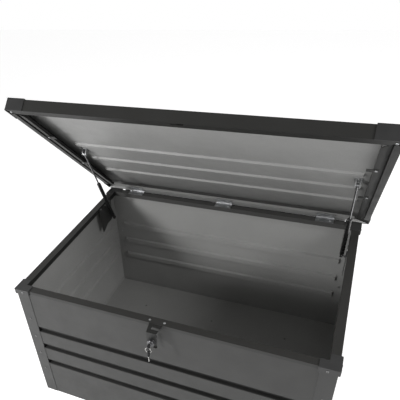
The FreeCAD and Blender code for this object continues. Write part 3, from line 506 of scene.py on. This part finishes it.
def fastener_tree():
    """Sets a blank on every point, along the point's `way`, each turned by chance."""
    tree = bpy.data.node_groups.new("set_fasteners", "GeometryNodeTree")
    tree.interface.new_socket("Geometry", in_out="INPUT", socket_type="NodeSocketGeometry")
    tree.interface.new_socket("Blank", in_out="INPUT", socket_type="NodeSocketObject")
    tree.interface.new_socket("Finish", in_out="INPUT", socket_type="NodeSocketMaterial")
    spin = tree.interface.new_socket("Spin Seed", in_out="INPUT", socket_type="NodeSocketInt")
    spin.default_value = 4
    tree.interface.new_socket("Geometry", in_out="OUTPUT", socket_type="NodeSocketGeometry")
    nodes, links = tree.nodes, tree.links
    given, made = nodes.new("NodeGroupInput"), nodes.new("NodeGroupOutput")
    way = nodes.new("GeometryNodeInputNamedAttribute")
    way.data_type = "FLOAT_VECTOR"
    way.inputs["Name"].default_value = "way"
    aim = nodes.new("FunctionNodeAlignRotationToVector")
    aim.axis = "Z"
    chance = nodes.new("FunctionNodeRandomValue")
    chance.data_type = "FLOAT"
    chance.inputs["Min"].default_value = 0.0
    chance.inputs["Max"].default_value = 2 * math.pi
    spun = nodes.new("ShaderNodeCombineXYZ")
    to_turn = nodes.new("FunctionNodeEulerToRotation")
    rotate = nodes.new("FunctionNodeRotateRotation")
    rotate.rotation_space = "LOCAL"
    blank = nodes.new("GeometryNodeObjectInfo")
    points = nodes.new("GeometryNodeMeshToPoints")
    instances = nodes.new("GeometryNodeInstanceOnPoints")
    real = nodes.new("GeometryNodeRealizeInstances")
    finish = nodes.new("GeometryNodeSetMaterial")
    links.new(given.outputs["Geometry"], points.inputs["Mesh"])
    links.new(points.outputs["Points"], instances.inputs["Points"])
    links.new(given.outputs["Blank"], blank.inputs["Object"])
    links.new(blank.outputs["Geometry"], instances.inputs["Instance"])
    links.new(way.outputs["Attribute"], aim.inputs["Vector"])
    links.new(given.outputs["Spin Seed"], chance.inputs["Seed"])
    links.new(chance.outputs[1], spun.inputs["Z"])
    links.new(spun.outputs["Vector"], to_turn.inputs["Euler"])
    links.new(aim.outputs["Rotation"], rotate.inputs["Rotation"])
    links.new(to_turn.outputs["Rotation"], rotate.inputs["Rotate By"])
    links.new(rotate.outputs["Rotation"], instances.inputs["Rotation"])
    links.new(instances.outputs["Instances"], real.inputs["Geometry"])
    links.new(real.outputs["Geometry"], finish.inputs["Geometry"])
    links.new(given.outputs["Finish"], finish.inputs["Material"])
    links.new(finish.outputs["Geometry"], made.inputs["Geometry"])
    return tree, {item.name: item.identifier for item in tree.interface.items_tree
                  if item.in_out == "INPUT"}


fasteners, fastener_inputs = fastener_tree()


def set_fasteners(name, seats, blank_mesh, material):
    """One plain mesh with a fastener on every seat."""
    mesh = bpy.data.meshes.new(name + "_seats")
    mesh.from_pydata([tuple(seat[0]) for seat in seats], [], [])
    ways = mesh.attributes.new("way", "FLOAT_VECTOR", "POINT")
    ways.data.foreach_set("vector", [c for seat in seats for c in seat[1]])
    holder = bpy.data.objects.new(name + "_holder", mesh)
    blank = bpy.data.objects.new(name + "_blank", blank_mesh)
    scene.collection.objects.link(holder)
    scene.collection.objects.link(blank)
    layer = holder.modifiers.new("set", "NODES")
    layer.node_group = fasteners
    layer[fastener_inputs["Blank"]] = blank
    layer[fastener_inputs["Finish"]] = material
    graph = bpy.context.evaluated_depsgraph_get()
    graph.update()
    plain = bpy.data.meshes.new_from_object(holder.evaluated_get(graph))
    bpy.data.objects.remove(holder)
    bpy.data.objects.remove(blank)
    piece = bpy.data.objects.new(name, plain)
    scene.collection.objects.link(piece)
    return piece


dark_zinc = plated("dark_zinc", (0.17, 0.17, 0.17), 0.45)
for node, body, finish, slot in (("post_screws", "chest", dark_zinc, "dark_screws"),
                                 ("rim_cap_screws", "chest", dark_zinc, "dark_screws"),
                                 ("floor_screws", "chest", dark_zinc, "dark_screws"),
                                 ("rim_screws", "chest", zinc, "zinc"),
                                 ("lid_screws", "lid", zinc, "dark_screws")):
    seats = screw_seats(node)
    shank = min(seat[2] for seat in seats)
    piece = set_fasteners(node + "_made", seats, screw_blank(node + "_blank_mesh", shank), finish)
    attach(piece, body)
    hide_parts(node)

nuts = set_fasteners("post_nuts_made", nut_seats("post_nuts"), nut_blank("nut_blank_mesh"), zinc)
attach(nuts, "chest")
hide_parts("post_nuts")

# ---- Gas struts ---------------------------------------------------------------------
# Black lacquered pressure tubes on ball studs, with ground steel piston rods. Each tube gets
# the rod's wiper lip, two rolled beads and the spring clip of its socket.
tube_lacquer = moulded("tube_lacquer", (0.010, 0.010, 0.010), 0.28,
                       grain=300.0, depth=0.0001, strength=0.1)
rod_steel = plated("rod_steel", (0.26, 0.26, 0.265), 0.24, streak=(1.0, 0.2, 0.2), spread=0.05)
bracket_lacquer = powder_coat("bracket_lacquer", (0.030, 0.030, 0.029), rough=(0.35, 0.45), dust=0.03)
dress(tube_lacquer, "strut_cylinder_left", "strut_cylinder_right")
dress(rod_steel, "strut_rod_left", "strut_rod_right", "strut_ball_studs")
dress(bracket_lacquer, "strut_bracket_left", "strut_bracket_right")

joints = {joint["name"]: joint for joint in frame["joints"]}
tube_length = 0.265            # from the ball to the tube's mouth
tube_radius = 0.009
socket_radius = 0.008
wire_radius = 0.0006
wire_steps = 10                # points around the wire of a ring
bead_sunk = 0.0003             # depth of a bead's middle below the tube's face
bead_drops = {"upper": 0.012, "lower": 0.017}      # below the tube's mouth
wiper_bore_radius = 0.0037
wiper_radius = 0.0062
wiper_height = 0.0026


def set_along(name, mesh, at, way, material, body):
    """A turned trim piece, drawn along Z, set at a point along a way."""
    turn_to = Vector(way).to_track_quat("Z", "X").to_matrix().to_4x4()
    mesh.transform(Matrix.Translation(at) @ turn_to)
    mesh.materials.append(material)
    piece = bpy.data.objects.new(name, mesh)
    scene.collection.objects.link(piece)
    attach(piece, body)


def wire_ring(name, radius):
    """Closed ring of round wire about Z."""
    turns = [2 * math.pi * i / wire_steps for i in range(wire_steps)]
    rings = [(radius + wire_radius * math.cos(a), wire_radius * math.sin(a)) for a in turns]
    return ringed(name, rings, looped=True)


# The wiper lip sits in the mouth, the beads behind it, and the clip round the ball.
wiper_rubber = moulded("wiper_rubber", (0.016, 0.016, 0.016), 0.6)
for side in ("left", "right"):
    ball = Vector(joints["strut_" + side + "_swing"]["pos_m"])
    up = Vector(joints["strut_" + side + "_stroke"]["axis"]).normalized()
    body = "strut_tube_" + side
    mouth = ball + up * tube_length
    wiper = ringed("wiper_" + side, [(wiper_bore_radius, 0.0), (wiper_radius, 0.0),
                                     (wiper_radius, 0.0012), (0.0048, wiper_height),
                                     (wiper_bore_radius, wiper_height)], looped=True)
    set_along("strut_wiper_" + side, wiper, mouth, up, wiper_rubber, body)
    for place, drop in bead_drops.items():
        bead = wire_ring("bead_" + place + "_" + side, tube_radius - bead_sunk)
        set_along("strut_bead_" + place + "_" + side, bead, mouth - up * drop, up, tube_lacquer, body)
    clip = wire_ring("clip_" + side, socket_radius + wire_radius * 0.5)
    set_along("strut_clip_" + side, clip, ball, (1.0, 0.0, 0.0), rod_steel, body)

# ---- Lock and keys ------------------------------------------------------------------
# Cam lock in a bent plate: die-cast barrel, steel cam, nickel keys with black heads. The
# plate, the cam and the catch on the lid are lacquered black.
lock_lacquer = powder_coat("lock_lacquer", (0.011, 0.011, 0.0105), rough=(0.35, 0.45), dust=0.02)
dress(lock_lacquer, "lock_plate", "lock_cam", "lid_catch_plate", "lock_barrel_nut")
barrel_zinc = plated("barrel_zinc", (0.14, 0.14, 0.145), 0.42)
dress(barrel_zinc, "lock_barrel", "lock_plug")
dress(plated("key_nickel", (0.55, 0.545, 0.53), 0.30), "key_blade", "spare_key_blade", "key_ring")
dress(moulded("key_plastic", (0.012, 0.012, 0.013), 0.4), "key_head", "spare_key_head")

# A stepped bezel rings the keyway on the barrel's face.
bezel_at = Vector(joints["lock_turn"]["pos_m"])
bezel_at.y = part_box("lock_barrel")[0][1]
bezel = ringed("bezel_mesh", [(0.0064, -0.0004), (0.0064, 0.0005), (0.0070, 0.0009), (0.0098, 0.0009),
                              (0.0104, 0.0004), (0.0104, -0.0004)], looped=True)
set_along("lock_bezel", bezel, bezel_at, (0.0, -1.0, 0.0), barrel_zinc, "chest")
